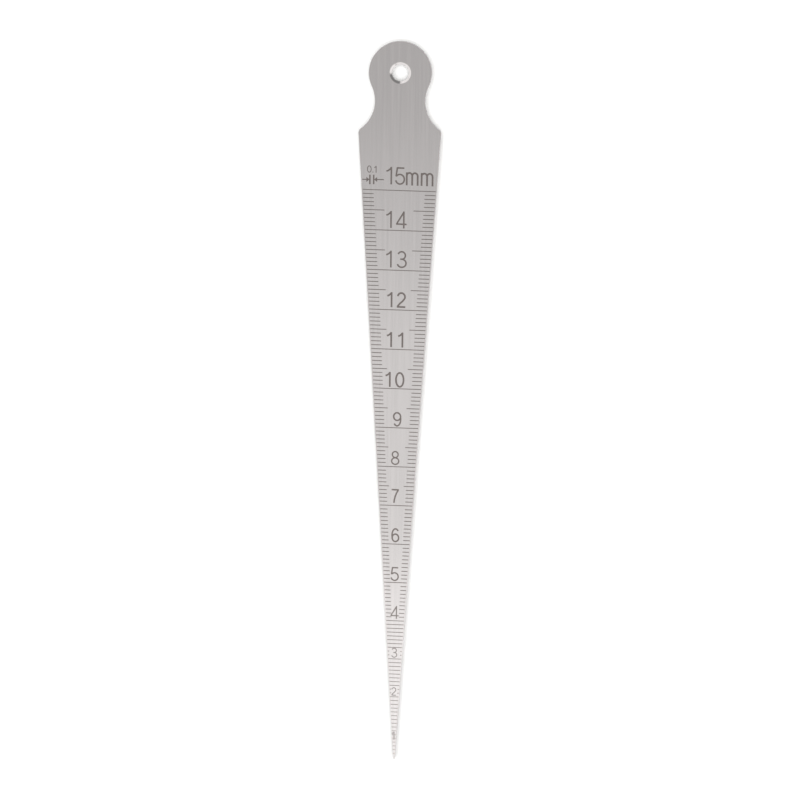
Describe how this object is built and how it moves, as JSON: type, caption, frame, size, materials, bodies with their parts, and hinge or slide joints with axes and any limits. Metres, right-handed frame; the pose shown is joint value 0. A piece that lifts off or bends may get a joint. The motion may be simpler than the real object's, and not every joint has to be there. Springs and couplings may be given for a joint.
{
  "type": "taper gauge",
  "caption": "Long flat steel blade, tapered to a blunt point, engraved across with a scale of its own width, with rounded shoulders, a waist and a round head with a hanging hole.",
  "frame": {"origin": "in the back face, under the middle of the blade's length and width, at the bottom centre of its box", "axes": "+X across the blade, +Y along the blade from the tip to the head, +Z out of the marked face"},
  "size_m": [0.0164, 0.1468, 0.0012],
  "materials": {
    "brushed_blade": "stainless steel sheet, brushed along the blade, satin, with a warm light grey sheen",
    "dark_etching": "matt brown-grey etched lines and numerals on the marked face"
  },
  "bodies": {
    "root": {"gauge_blade": "brushed_blade"}
  },
  "joints": []
}
